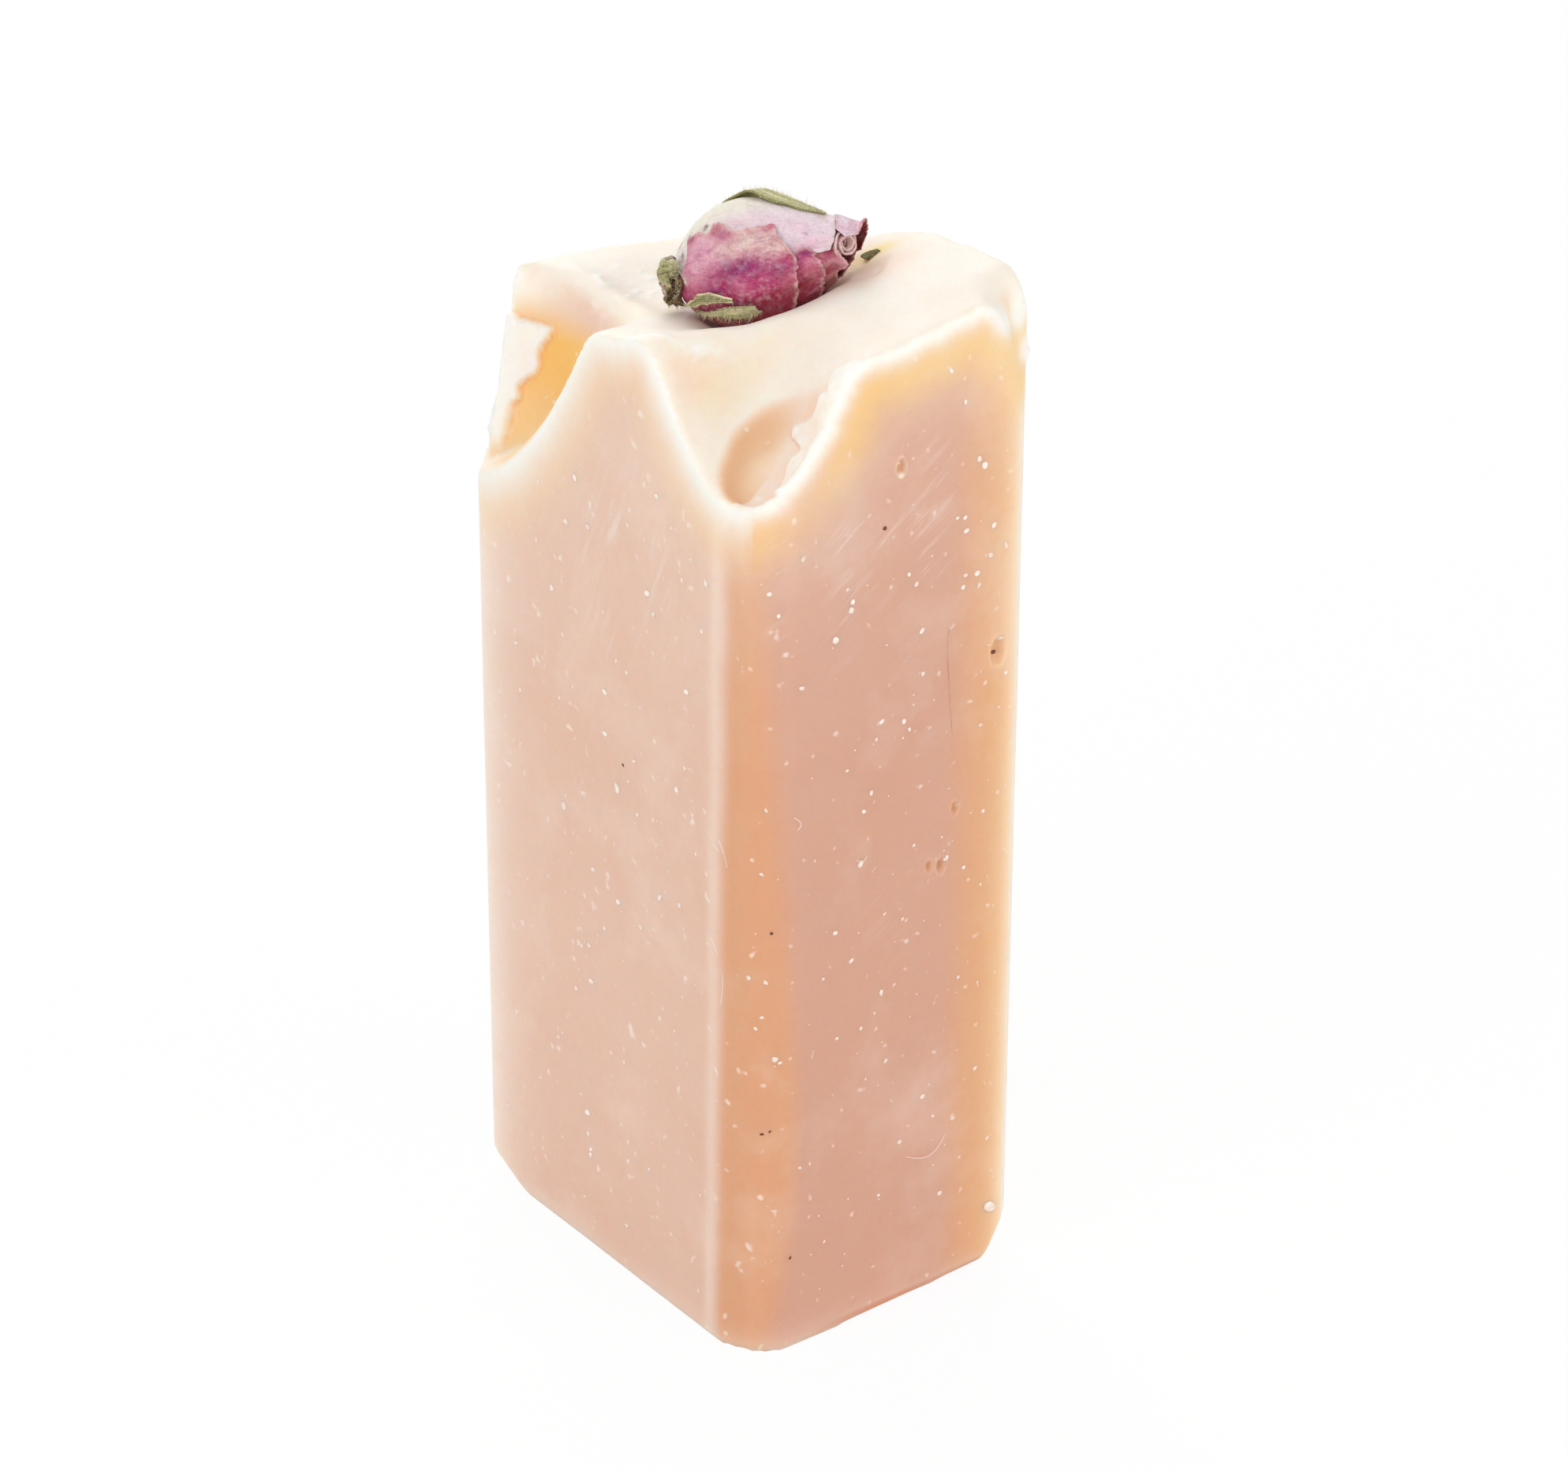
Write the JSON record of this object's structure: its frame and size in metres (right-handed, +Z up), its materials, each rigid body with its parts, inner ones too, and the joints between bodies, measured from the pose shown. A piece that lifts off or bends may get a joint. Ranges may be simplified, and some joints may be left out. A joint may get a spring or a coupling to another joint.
{
  "type": "bar of soap",
  "caption": "Upright bar of handmade soap with planed edges, a sculpted top with scooped corners, and a dried rosebud pressed into it.",
  "frame": {"origin": "centre of the bar's footprint, on the flat face that it stands on", "axes": "+Z up along the bar's longest side, +X to the right along the narrow front face, whose outward normal is -Y; the wide left face looks to -X"},
  "size_m": [0.03, 0.042, 0.0988],
  "materials": {
    "soap": "waxy",
    "petal_outer": "dry, wrinkled",
    "petal_pale": "dry, wrinkled",
    "petal_inner": "dry, wrinkled",
    "sepal": "dry, hairy",
    "hip": "dry"
  },
  "bodies": {
    "root": {"soap_bar": "soap", "petal_front": "petal_outer", "petal_back": "petal_outer", "petal_top": "petal_pale", "petal_side": "petal_pale", "petal_far": "petal_pale", "petal_lip": "petal_inner", "petal_crest": "petal_inner", "petal_under": "petal_inner", "bud_heart": "petal_inner", "centre_roll": "petal_inner", "bud_hip": "hip", "sepal_top": "sepal", "sepal_left": "sepal", "sepal_low": "sepal", "sepal_front": "sepal", "sepal_under": "sepal", "leaf_crumb": "sepal"}
  },
  "joints": []
}
